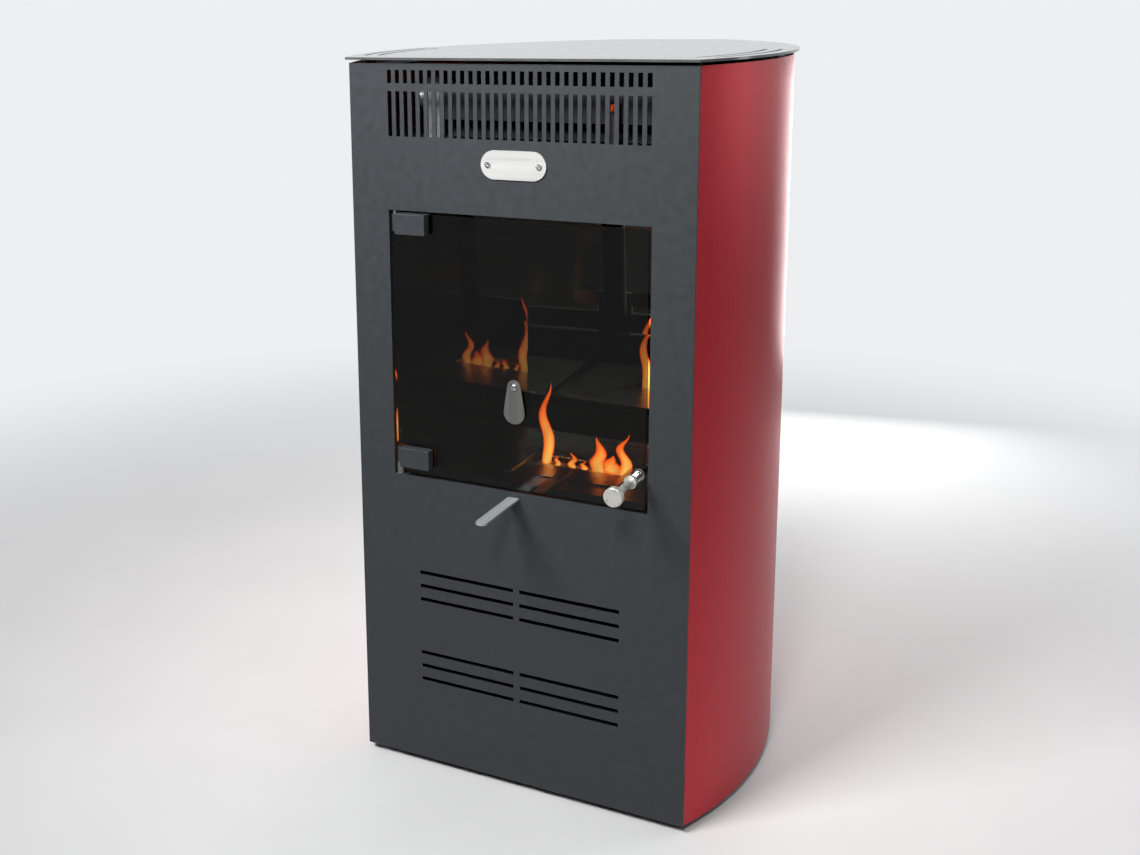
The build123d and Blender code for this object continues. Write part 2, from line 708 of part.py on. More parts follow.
def door_glass():
    """The pane, notched round both hinge pins, with holes for the cover, the screws and the spindle."""
    pane = rect(-GLASS_HALF, GLASS_HALF, OPENING_BOTTOM + GLASS_GAP, OPENING_TOP - GLASS_GAP)
    pane -= rect(-PANEL_W, NOTCH_X, OPENING_BOTTOM, LOWER_CLAMP_Z + CLAMP_H + 2.0)
    pane -= rect(-PANEL_W, NOTCH_X, UPPER_CLAMP_Z - 2.0, OPENING_TOP)
    for x, z in clamp_screw_places():
        pane -= Pos(x, z) * Circle(CLAMP_SCREW_R + FIT_GAP)
    pane -= Pos(0, COVER_PIVOT_Z) * Circle(COVER_SCREW_R + HOLE_CLEAR)
    pane -= Pos(0, COVER_PIVOT_Z - COVER_DROP) * Circle(LIGHTING_HOLE_R)
    pane -= Pos(KNOB_X, KNOB_Z) * Circle(SPINDLE_BUSH_R + HOLE_CLEAR)
    return upright(pane, GLASS_Y, GLASS_BACK)


def hinge_clamp(z):
    """The painted outer block, with a knuckle round the hinge pin behind its left end."""
    front = GLASS_Y - GASKET_T
    body = block(CLAMP_X, CLAMP_X + CLAMP_W, front - CLAMP_PROUD, front, z, z + CLAMP_H)
    body = fillet(body.edges().filter_by(Axis.Y), 2.0)
    body = fillet(body.faces().sort_by(Axis.Y)[0].edges(), 1.0)
    low, high = z + KNUCKLE_INSET, z + CLAMP_H - KNUCKLE_INSET
    neck_x = NOTCH_X - FIT_GAP
    body += block(HINGE_X, neck_x, HINGE_Y - KNUCKLE_R, GLASS_BACK, low, high)
    body += block(HINGE_X + KNUCKLE_R, neck_x, HINGE_Y - CLAMP_NECK, HINGE_Y, low, high)
    body += rod_z(low, high, HINGE_X, HINGE_Y, KNUCKLE_R)
    body -= rod_z(z - 1, z + CLAMP_H + 1, HINGE_X, HINGE_Y, PIN_R + RUNNING)
    for x, zs in clamp_screw_places():
        if z < zs < z + CLAMP_H:
            body -= rod_y(front - CLAMP_PROUD / 2, front + 1, x, zs, CLAMP_SCREW_R + HOLE_CLEAR)
    return body


def clamp_plates(y0, y1):
    """Plates under both clamps between two depths, with their screw holes."""
    plates = []
    for z in (LOWER_CLAMP_Z, UPPER_CLAMP_Z):
        plan = rect(NOTCH_X + 1.0, CLAMP_X + CLAMP_W, z, z + CLAMP_H)
        for x, zs in clamp_screw_places():
            plan -= Pos(x, zs) * Circle(CLAMP_SCREW_R + HOLE_CLEAR)
        plates.append(upright(plan, y0, y1))
    return plates


def clamp_gaskets():
    """Thin gaskets on both faces of the pane."""
    front = clamp_plates(GLASS_Y - GASKET_T, GLASS_Y)
    back = clamp_plates(GLASS_BACK, GLASS_BACK + GASKET_T)
    return group(front + back)


def clamp_backplates():
    y = GLASS_BACK + GASKET_T
    return group(clamp_plates(y, y + CLAMP_BACK_T))


def clamp_screws():
    """Screws from inside the door into the outer blocks."""
    y1 = GLASS_BACK + GASKET_T + CLAMP_BACK_T
    y0 = GLASS_Y - GASKET_T - CLAMP_PROUD / 2
    return group(rod_y(y0, y1, x, z, CLAMP_SCREW_R) + rod_y(y1, y1 + 2.0, x, z, 2 * CLAMP_SCREW_R)
                 for x, z in clamp_screw_places())


def hinge_pins():
    """Pins through the opening's returns, each with its head outside the opening."""
    low, high = OPENING_BOTTOM - PANEL_T, OPENING_TOP + PANEL_T
    lower = rod_z(low, LOWER_CLAMP_Z + PIN_ENGAGE, HINGE_X, HINGE_Y, PIN_R)
    lower += rod_z(low - PIN_HEAD_T, low, HINGE_X, pin_head_y(), PIN_HEAD_R)
    upper = rod_z(UPPER_CLAMP_Z + CLAMP_H - PIN_ENGAGE, high, HINGE_X, HINGE_Y, PIN_R)
    upper += rod_z(high, high + PIN_HEAD_T, HINGE_X, pin_head_y(), PIN_HEAD_R)
    return group((lower, upper))


def pin_head_y():
    """The heads stand behind the panel's sheet."""
    return PANEL_T + PIN_HEAD_R


def hinge_bush():
    """The collar on the lower pin that the door's weight rests on."""
    z1 = LOWER_CLAMP_Z + KNUCKLE_INSET - RUNNING
    bush = rod_z(OPENING_BOTTOM, z1, HINGE_X, HINGE_Y, BUSH_R)
    return bush - rod_z(OPENING_BOTTOM - 1, z1 + 1, HINGE_X, HINGE_Y, PIN_R + HOLE_CLEAR)


def teardrop():
    """A drop shape: a small and a large circle with their outer tangents."""
    low = COVER_PIVOT_Z - COVER_DROP
    tilt = (COVER_LOW_R - COVER_TOP_R) / COVER_DROP
    c = sqrt(1 - tilt**2)
    points = [(COVER_TOP_R * c, COVER_PIVOT_Z + COVER_TOP_R * tilt), (COVER_LOW_R * c, low + COVER_LOW_R * tilt)]
    sides = polygon(points[0], points[1], (-points[1][0], points[1][1]), (-points[0][0], points[0][1]))
    return sides + Pos(0, COVER_PIVOT_Z) * Circle(COVER_TOP_R) + Pos(0, low) * Circle(COVER_LOW_R)


def ignition_cover():
    back = GLASS_Y - COVER_SPACER_T
    plate = teardrop() - Pos(0, COVER_PIVOT_Z) * Circle(COVER_SCREW_R + RUNNING)
    return upright(plate, back - COVER_T, back)


def cover_spacer():
    ring = Pos(0, COVER_PIVOT_Z) * (Circle(COVER_SPACER_R) - Circle(COVER_SCREW_R + HOLE_CLEAR))
    return upright(ring, GLASS_Y - COVER_SPACER_T, GLASS_Y)


def cover_screw():
    """The pivot screw with its domed head, and its nut behind the glass."""
    y0 = GLASS_Y - COVER_SPACER_T - COVER_T - RUNNING
    end = GLASS_BACK + 2 * NUT_T
    head = rod_y(y0 - COVER_HEAD_T, y0, 0, COVER_PIVOT_Z, COVER_HEAD_R)
    head = fillet(head.faces().sort_by(Axis.Y)[0].edges(), 1.6)
    screw = head + rod_y(y0, end, 0, COVER_PIVOT_Z, COVER_SCREW_R)
    nut = Pos(0, COVER_PIVOT_Z) * (RegularPolygon(2 * COVER_SCREW_R, 6) - Circle(COVER_SCREW_R + HOLE_CLEAR))
    return group((screw, upright(nut, GLASS_BACK, GLASS_BACK + NUT_T)))


def knob():
    """The round head and slim neck, turned in one piece, with a bore for the spindle."""
    tip = -KNOB_REACH
    head = rod_y(tip, tip + KNOB_HEAD_T, KNOB_X, KNOB_Z, KNOB_HEAD_R)
    head = fillet(head.edges().filter_by(GeomType.CIRCLE), 1.5)
    collar_front = spring_front() - KNOB_COLLAR_T
    body = head + rod_y(tip + KNOB_HEAD_T, collar_front, KNOB_X, KNOB_Z, KNOB_NECK_R)
    return body - rod_y(tip + KNOB_HEAD_T, collar_front + 1, KNOB_X, KNOB_Z, SPINDLE_R + HOLE_CLEAR)


def spring_front():
    return GLASS_Y - SPINDLE_FLANGE_T - SPRING_L


def knob_collar():
    y1 = spring_front()
    collar = rod_y(y1 - KNOB_COLLAR_T, y1, KNOB_X, KNOB_Z, KNOB_COLLAR_R)
    collar = fillet(collar.edges().filter_by(GeomType.CIRCLE), 0.8)
    return collar - rod_y(y1 - KNOB_COLLAR_T - 1, y1 + 1, KNOB_X, KNOB_Z, SPINDLE_R + HOLE_CLEAR)


def knob_spindle():
    y1 = TONGUE_Y + TONGUE_T + 2 * NUT_T
    return rod_y(-KNOB_REACH + KNOB_HEAD_T, y1, KNOB_X, KNOB_Z, SPINDLE_R)


def spindle_bush():
    """A flanged bush in the pane, with the spindle running in it."""
    y0, y1 = GLASS_Y - SPINDLE_FLANGE_T, GLASS_BACK + NUT_T
    bush = rod_y(y0, GLASS_Y, KNOB_X, KNOB_Z, BUSH_FLANGE_R) + rod_y(GLASS_Y, y1, KNOB_X, KNOB_Z, SPINDLE_BUSH_R)
    bush += rod_y(GLASS_BACK, y1, KNOB_X, KNOB_Z, BUSH_FLANGE_R)
    return bush - rod_y(y0 - 1, y1 + 1, KNOB_X, KNOB_Z, SPINDLE_R + RUNNING)


def helix_point(turn):
    """A point on the spring's centre line and its direction there."""
    run = SPRING_L - 2 * (SPRING_WIRE_R + RUNNING)
    a = 2 * pi * turn
    y = spring_front() + SPRING_WIRE_R + RUNNING + run * turn / SPRING_TURNS
    point = Vector(KNOB_X + SPRING_MEAN_R * cos(a), y, KNOB_Z + SPRING_MEAN_R * sin(a))
    way = Vector(-SPRING_MEAN_R * sin(a), run / SPRING_TURNS / (2 * pi), SPRING_MEAN_R * cos(a))
    return point, way.normalized()


def biarc(p0, t0, p1, t1):
    """Two arcs from p0 to p1 that leave along t0 and arrive along t1."""
    v, t = p1 - p0, t0 + t1
    a, b, c = 2 * (1 - t0.dot(t1)), 2 * v.dot(t), -v.dot(v)
    d = (-b + sqrt(b * b - 4 * a * c)) / (2 * a)
    joint = (p0 + t0 * d + p1 - t1 * d) * 0.5
    return [arc_between(p0, p0 + t0 * d, joint), arc_between(joint, p1 - t1 * d, p1)]


def arc_between(start, apex, end):
    """The arc that touches start-apex and apex-end."""
    half = (end - start).length / 2
    side = (apex - start).length
    middle = (start + end) * 0.5
    height = (apex - middle).length
    sagitta = half * (side - half) / height
    return ThreePointArc(start, middle + (apex - middle).normalized() * sagitta, end)


def knob_spring():
    """The visible coil behind the collar, one unbroken round wire."""
    quarters = 4 * SPRING_TURNS
    edges = []
    for i in range(quarters):
        p0, t0 = helix_point(i / 4)
        p1, t1 = helix_point((i + 1) / 4)
        edges += biarc(p0, t0, p1, t1)
    path = Wire(edges)
    section = Plane(origin=path @ 0, z_dir=path % 0) * Circle(SPRING_WIRE_R)
    print(f"spring: {SPRING_TURNS} turns, least gap to itself {least_gap(path):.2f} mm")
    return sweep(section, path=path)


def least_gap(path):
    """The smallest clear distance between points on neighbouring turns."""
    per_turn = 24
    points = [path @ (i / (per_turn * SPRING_TURNS)) for i in range(per_turn * SPRING_TURNS + 1)]
    pairs = ((p, points[j]) for i, p in enumerate(points)
             for j in range(i + per_turn * 3 // 4, min(i + per_turn * 5 // 4, len(points))))
    return min((p - q).length for p, q in pairs) - 2 * SPRING_WIRE_R


def latch_tongue():
    """The catch on the spindle's inner end: it hangs down, and turns behind the jamb to lock."""
    low = KNOB_Z - TONGUE_L + TONGUE_W / 2
    plate = rect(KNOB_X - TONGUE_W / 2, KNOB_X + TONGUE_W / 2, low, KNOB_Z)
    plate += Pos(KNOB_X, KNOB_Z) * Circle(TONGUE_W / 2) + Pos(KNOB_X, low) * Circle(TONGUE_W / 2)
    plate -= Pos(KNOB_X, KNOB_Z) * Circle(SPINDLE_R + HOLE_CLEAR)
    return upright(plate, TONGUE_Y, TONGUE_Y + TONGUE_T)


def tongue_nut():
    nut = Pos(KNOB_X, KNOB_Z) * (RegularPolygon(2 * SPINDLE_R, 6) - Circle(SPINDLE_R + HOLE_CLEAR))
    return upright(nut, TONGUE_Y + TONGUE_T, TONGUE_Y + TONGUE_T + NUT_T)


def latch_keeper():
    """A small angle behind the right jamb that the tongue turns onto."""
    x0 = OPENING_HALF + PANEL_T
    y1 = TONGUE_Y - FIT_GAP
    low, high = KNOB_Z - TONGUE_W, KNOB_Z + TONGUE_W
    foot = rect(x0, x0 + 12.0, PANEL_T, PANEL_T + 1.5) + rect(x0, x0 + 1.5, PANEL_T, y1)
    foot += rect(x0, x0 + 9.0, y1 - 1.5, y1)
    return level(foot, low, high)


def badge_plate():
    """The plain nameplate, left bare."""
    z = TOP - BADGE_BELOW_TOP
    plate = Pos(0, z) * SlotOverall(BADGE_W, BADGE_H)
    for x in (-BADGE_SCREW_X, BADGE_SCREW_X):
        plate -= Pos(x, z) * Circle(BADGE_SCREW_R + HOLE_CLEAR)
    return upright(plate, -BADGE_T, 0)


def badge_screws():
    """Slotted screws at the badge's ends."""
    z = TOP - BADGE_BELOW_TOP
    screws = []
    for x in (-BADGE_SCREW_X, BADGE_SCREW_X):
        screw = rod_y(-BADGE_T - 1.6, -BADGE_T, x, z, 3.6) + rod_y(-BADGE_T, PANEL_T + 4.0, x, z, BADGE_SCREW_R)
        slot = Pos(x, -BADGE_T - 1.6, z) * Rot(0, 35, 0) * Box(9.0, 1.4, 0.9)
        screws.append(screw - slot)
    return group(screws)


def fan_shelf():
    """A cross shelf between the front posts that carries the blower and the lamp's bracket."""
    x = FRONT_POST_X
    shelf = block(-x, x, SHELL_INNER_Y + POST_T + 1.0, ROTOR_Y + SCROLL_R + 10.0, FAN_SHELF_Z, FAN_SHELF_Z + SHELF_T)
    bracket = upright(rect(LAMP_X - 7, LAMP_X + 7, FAN_SHELF_Z + SHELF_T, LAMP_Z + 8) -
                      Pos(LAMP_X, LAMP_Z) * Circle(LAMP_R + HOLE_CLEAR), LAMP_FRONT + LAMP_L - 6.0, LAMP_FRONT + LAMP_L - 4.5)
    return shelf + bracket


def pilot_lamp():
    lamp = rod_y(LAMP_FRONT, LAMP_FRONT + LAMP_L, LAMP_X, LAMP_Z, LAMP_R)
    return fillet(lamp.faces().sort_by(Axis.Y)[0].edges(), 2.5)


def fan_housing():
    """The blower's folded casing: a scroll round the back, a front wall and two end plates."""
    t = SCROLL_T
    z, y = ROTOR_Z, ROTOR_Y
    floor_z = FAN_SHELF_Z + SHELF_T
    front = HOUSING_FRONT_Y

    def profile(r, lip):
        scroll = make_face([
            ThreePointArc((y, z + r), (y + r, z), (y, z - r)),
            Line((y, z - r), (front + lip, floor_z + t + lip)),
            Line((front + lip, floor_z + t + lip), (front + lip, z + r)),
            Line((front + lip, z + r), (y, z + r)),
        ])
        return scroll

    whole, inside = profile(SCROLL_R + t, 0), profile(SCROLL_R, t)
    x0, x1 = ROTOR_X[0] - 5.0, ROTOR_X[1] + 5.0
    casing = across(whole, x0, x1) - across(inside, x0 + t, x1 - t)
    casing -= block(x0 + t, x1 - t, front - 1, ROTOR_Y, ROTOR_Z + 12.0, TOP)
    casing -= block(x0 + t, x1 - t, front - 1, front + 3 * t, floor_z + t, floor_z + t + HOUSING_OUTLET_H)
    casing -= rod_x(x0 - 1, x0 + t + 1, y, z, SHAFT_R + 1.0)
    casing -= rod_x(x1 - t - 1, x1 + 1, y, z, BEARING_R + HOLE_CLEAR)
    feet = rect(y - 12, y + 12, floor_z, z - SCROLL_R)
    for x in (x0, x1 - t):
        casing += across(feet, x, x + t)
    return casing


def fan_rotor():
    """A long drum of thin blades between discs, on its shaft."""
    x0, x1 = ROTOR_X
    t = ROTOR_DISC_T
    middles = [i * ROTOR_SECTION for i in range(-1, 3) if x0 + 10 < i * ROTOR_SECTION < x1 - 10]
    rotor = rod_x(x0 - MOTOR_L * 0.4 - 5.0, x1 + 5.0 + BEARING_L, ROTOR_Y, ROTOR_Z, SHAFT_R)
    for x in [x0, *[m - t / 2 for m in middles], x1 - t]:
        rotor += rod_x(x, x + t, ROTOR_Y, ROTOR_Z, ROTOR_R - 0.4)
    blades = []
    for i in range(ROTOR_BLADES):
        turn = 360 / ROTOR_BLADES * i
        blade = Pos(0, ROTOR_R - ROTOR_BLADE_L / 2 - 0.6, 0) * Rot(25, 0, 0) * Box(
            x1 - x0 - t, ROTOR_BLADE_L, ROTOR_BLADE_T)
        blades.append(Pos((x0 + x1) / 2, ROTOR_Y, ROTOR_Z) * Rot(turn, 0, 0) * blade)
    return rotor.fuse(*blades)


def fan_motor():
    """A shaded-pole motor on the left end plate."""
    x1 = ROTOR_X[0] - 5.0
    half = MOTOR_SIZE / 2
    floor_z = FAN_SHELF_Z + SHELF_T
    motor = block(x1 - MOTOR_L * 0.6, x1 - MOTOR_L * 0.2, ROTOR_Y - half, ROTOR_Y + half, floor_z, ROTOR_Z + half)
    motor += rod_x(x1 - MOTOR_L, x1, ROTOR_Y, ROTOR_Z, half * 0.6)
    return motor - rod_x(x1 - MOTOR_L * 0.5, x1 + 1, ROTOR_Y, ROTOR_Z, SHAFT_R + RUNNING)


def fan_bearing():
    x0 = ROTOR_X[1] + 5.0 - SCROLL_T
    ring = rod_x(x0, x0 + BEARING_L, ROTOR_Y, ROTOR_Z, BEARING_R)
    return ring - rod_x(x0 - 1, x0 + BEARING_L + 1, ROTOR_Y, ROTOR_Z, SHAFT_R + RUNNING)


def thermostat():
    """The disc thermostat that starts the blower once the firebox is warm."""
    z = FIREBOX_TOP + WALL_T
    x, y = THERMOSTAT_AT
    thick, wide, tall = THERMOSTAT_TAB
    body = rod_z(z, z + THERMOSTAT_H, x, y, THERMOSTAT_R)
    for side in (x - wide / 2, x + wide / 2):
        body += block(side - thick / 2, side + thick / 2, y - wide / 2, y + wide / 2,
                      z + THERMOSTAT_H, z + THERMOSTAT_H + tall)
    return body


def socket_plan():
    return rect(-SOCKET_W / 2, SOCKET_W / 2, SOCKET_Z - SOCKET_H / 2, SOCKET_Z + SOCKET_H / 2)


def power_inlet():
    """The appliance socket with its three pins, and the switch's frame above it."""
    y1 = BODY_DEPTH - SHELL_T + INLET_FLANGE_T
    body = upright(Pos(0, INLET_Z) * RectangleRounded(INLET_W, INLET_H, 4.0), BODY_DEPTH - SHELL_T, y1)
    body += upright(Pos(0, INLET_Z) * Rectangle(INLET_W - 6.6, INLET_H - 6.6),
                    BODY_DEPTH - SHELL_T - INLET_BODY_DEPTH, BODY_DEPTH - SHELL_T)
    body -= upright(socket_plan(), y1 - SOCKET_DEPTH, y1 + 1)
    for i in (-1, 0, 1):
        x, z = i * SOCKET_PIN_PITCH, SOCKET_Z + (2.0 if i == 0 else -2.0)
        body += block(x - 1.0, x + 1.0, y1 - SOCKET_DEPTH, y1 - SOCKET_DEPTH + SOCKET_PIN_L, z - 2.0, z + 2.0)
    well = upright(rect(-ROCKER_W / 2 - 0.5, ROCKER_W / 2 + 0.5, ROCKER_Z - ROCKER_H / 2 - 0.8,
                        ROCKER_Z + ROCKER_H / 2 + 0.8), y1 - 12.0, y1 + 1)
    body -= well
    return body - rod_x(-ROCKER_W / 2 - 3, ROCKER_W / 2 + 3, ROCKER_Y, ROCKER_Z, ROCKER_PIN_R + RUNNING)


def switch_rocker():
    """The rocker, tipped to one side on its cross pin."""
    half = ROCKER_H / 2
    side = polygon((ROCKER_Y - 3.0, ROCKER_Z - half + 2), (ROCKER_Y - 3.0, ROCKER_Z + half - 2),
                   (ROCKER_Y + 3.2, ROCKER_Z + half), (ROCKER_Y + 2.2, ROCKER_Z), (ROCKER_Y + 3.2, ROCKER_Z - half))
    rocker = across(side, -ROCKER_W / 2, ROCKER_W / 2)
    rocker += rod_x(-ROCKER_W / 2 - 2.5, ROCKER_W / 2 + 2.5, ROCKER_Y, ROCKER_Z, ROCKER_PIN_R)
    return rocker.rotate(Axis((0, ROCKER_Y, ROCKER_Z), (1, 0, 0)), ROCKER_TILT)


def save(name, shape):
    """Writes one sub-part, moved to the frame's origin."""
    moved = shape.moved(Location((0, -ORIGIN_Y, 0)))
    moved.label = name
    export_step(moved, f"parts/{name}.step")


PARTS = {
    "front_panel": front_panel,
    "rear_panel": rear_panel,
    "rear_panel_screws": rear_panel_screws,
    "top_plate": top_plate,
    "plate_spacers": plate_spacers,
    "top_frame": top_frame,
    "base_plate": base_plate,
    "foot_pads": foot_pads,
    "foot_studs": foot_studs,
    "foot_nuts": foot_nuts,
    "front_posts": front_posts,
    "rear_posts": rear_posts,
    "side_rails": side_rails,
    "support_shelf": support_shelf,
    "firebox_back_lower": firebox_back_lower,
    "firebox_back_upper": firebox_back_upper,
    "firebox_rear_strip": firebox_rear_strip,
    "firebox_floor": firebox_floor,
    "firebox_roof": firebox_roof,
    "burner_tank": burner_tank,
    "burner_cover": burner_cover,
    "ceramic_insert": ceramic_insert,
    "lid_guides": lid_guides,
    "burner_lid": burner_lid,
    "regulator_lever": regulator_lever,
    "lever_rivets": lever_rivets,
    "door_glass": door_glass,
    "upper_hinge_clamp": lambda: hinge_clamp(UPPER_CLAMP_Z),
    "lower_hinge_clamp": lambda: hinge_clamp(LOWER_CLAMP_Z),
    "clamp_backplates": clamp_backplates,
    "clamp_gaskets": clamp_gaskets,
    "clamp_screws": clamp_screws,
    "hinge_pins": hinge_pins,
    "hinge_bush": hinge_bush,
    "ignition_cover": ignition_cover,
    "cover_spacer": cover_spacer,
    "cover_screw": cover_screw,
    "knob": knob,
    "knob_collar": knob_collar,
    "knob_spring": knob_spring,
    "knob_spindle": knob_spindle,
    "spindle_bush": spindle_bush,
    "latch_tongue": latch_tongue,
    "tongue_nut": tongue_nut,
    "latch_keeper": latch_keeper,
    "badge_plate": badge_plate,
    "badge_screws": badge_screws,
    "fan_shelf": fan_shelf,
    "pilot_lamp": pilot_lamp,
    "fan_housing": fan_housing,
    "fan_rotor": fan_rotor,
    "fan_motor": fan_motor,
    "fan_bearing": fan_bearing,
    "thermostat": thermostat,
    "power_inlet": power_inlet,
    "switch_rocker": switch_rocker,
}

os.makedirs("parts", exist_ok=True)
for node, make in PARTS.items():
    save(node, make())
shell = shell_with_holes(right_shell())
save("right_shell", shell)
save("left_shell", mirrored(shell))
wall = firebox_right_wall()
save("firebox_right_wall", wall)
save("firebox_left_wall", mirrored(wall))
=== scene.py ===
"""Looks of a free-standing bioethanol stove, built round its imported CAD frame.

Metres. X runs to the right, Y runs backwards, Z is up from the floor. The front faces -Y.
"""
import json
from math import cos, pi, radians, sin

import bpy
from mathutils import Matrix, Vector, noise


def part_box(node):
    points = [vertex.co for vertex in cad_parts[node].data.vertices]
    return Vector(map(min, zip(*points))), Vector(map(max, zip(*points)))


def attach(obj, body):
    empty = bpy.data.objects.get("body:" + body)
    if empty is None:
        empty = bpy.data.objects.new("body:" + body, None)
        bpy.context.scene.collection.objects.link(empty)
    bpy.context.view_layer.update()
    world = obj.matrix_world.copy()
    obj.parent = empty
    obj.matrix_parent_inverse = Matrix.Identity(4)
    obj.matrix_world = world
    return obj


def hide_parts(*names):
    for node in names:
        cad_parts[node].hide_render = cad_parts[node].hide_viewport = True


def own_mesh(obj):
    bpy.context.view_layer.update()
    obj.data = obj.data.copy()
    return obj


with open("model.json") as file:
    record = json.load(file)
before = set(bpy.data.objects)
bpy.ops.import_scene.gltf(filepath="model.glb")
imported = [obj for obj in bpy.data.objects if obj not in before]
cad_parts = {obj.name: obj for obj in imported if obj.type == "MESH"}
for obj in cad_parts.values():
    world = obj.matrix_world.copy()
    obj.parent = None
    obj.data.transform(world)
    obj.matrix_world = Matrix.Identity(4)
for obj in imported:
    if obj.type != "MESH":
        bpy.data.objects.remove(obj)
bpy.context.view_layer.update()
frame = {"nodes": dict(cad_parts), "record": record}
nodes = frame["nodes"]

# Camera, fitted to the photograph
PHOTO_W, PHOTO_H = 1140, 855
FOCAL_PX = 1396.7
CENTRE_PX = (428.0, 300.0)
CAMERA_AT = (0.6979, -1.7145, 1.0152)
CAMERA_FORWARD = (-0.4711, 0.8551, -0.2164)
CAMERA_ROLL_DEG = -1.1
SENSOR_MM = 36.0

# Knob spring
SPRING_TURNS = 7
SPRING_WIRE_R = 0.00095
SPRING_STEPS = 24

# Ceramic wool: cells along X and Y, how deep its top is pitted, and how many pits there are to a metre
WOOL_CELLS = (68, 17)
WOOL_BUMP = 0.0012
WOOL_PITS = 240

# Flames: name, then X, Y off the slot's middle, height, widest half width and sway
TONGUES = (
    ("flame_left", -0.052, 0.004, 0.118, 0.0100, 0.008),
    ("flame_low_1", -0.034, 0.000, 0.016, 0.0050, 0.003),
    ("flame_low_2", -0.012, 0.002, 0.022, 0.0065, -0.004),
    ("flame_low_3", 0.006, -0.002, 0.014, 0.0060, 0.003),
    ("flame_middle", 0.027, 0.000, 0.050, 0.0130, -0.004),
    ("flame_trough", 0.045, 0.001, 0.027, 0.0170, 0.003),
    ("flame_right", 0.062, 0.003, 0.060, 0.0100, 0.008),
)
FLAME_RINGS = 28
FLAME_SIDES = 20
FLAME_TIP_R = 0.00002
# A tongue's depth as a share of its width
FLAME_Y_DEPTH = 0.75
# A tongue's swelling: share of the width, size at the foot, growth and easing, then the tip's bluntness
SWELL_SHARE = 0.45
SWELL_FOOT, SWELL_GROWTH, SWELL_EASE = 0.35, 2.2, 0.9
TIP_BLUNTNESS = 2.2
# A tongue's swaying: half waves along X and Y, how soon it sets in, and the share of it that goes along Y
SWAY_WAVES = (2.6, 1.7)
SWAY_ONSET = 0.6
SWAY_ALONG_Y = 0.3
# Ripples on a tongue's skin: their depth, and how fast they change from tongue to tongue and upwards
RIPPLE, RIPPLE_X, RIPPLE_UP = 0.18, 300, 5

# Noise lies mostly between these two grey values
NOISE_LOW, NOISE_HIGH = 0.3, 0.7
# Height of the fine surface bumps
BUMP_HEIGHT = 0.0004

# Surround: dim in front of the stove and bright behind it, between these two Y directions
SURROUND_COLOUR = (0.97, 0.98, 1.0, 1)
WORLD_FRONT, WORLD_BACK = 0.05, 0.92
WORLD_TURN = (-0.1, 0.75)

# How bright the backdrop is to the eye, and between which distances the floor fades into it
BACKDROP = 0.88
FLOOR_FADE = (0.55, 2.3)
FLOOR_HALF = 6.0

# Lights: name, place, what it points at, size, watts and spread in degrees
LIGHTS = (
    ("key", (-0.55, -1.35, 1.75), (-0.15, -0.23, 0.85), (0.7, 0.5), 15, 100),
    ("front_right", (0.5, -2.0, 1.9), (0.28, -0.2, 0.8), (0.4, 0.4), 5, 80),
    ("side", (1.5, 1.0, 1.3), (0.25, 0, 0.6), (0.25, 1.6), 4, 180),
    ("rim", (0.0, 1.6, 0.48), (0.28, 0.1, 0.5), (0.8, 0.7), 11, 180),
)

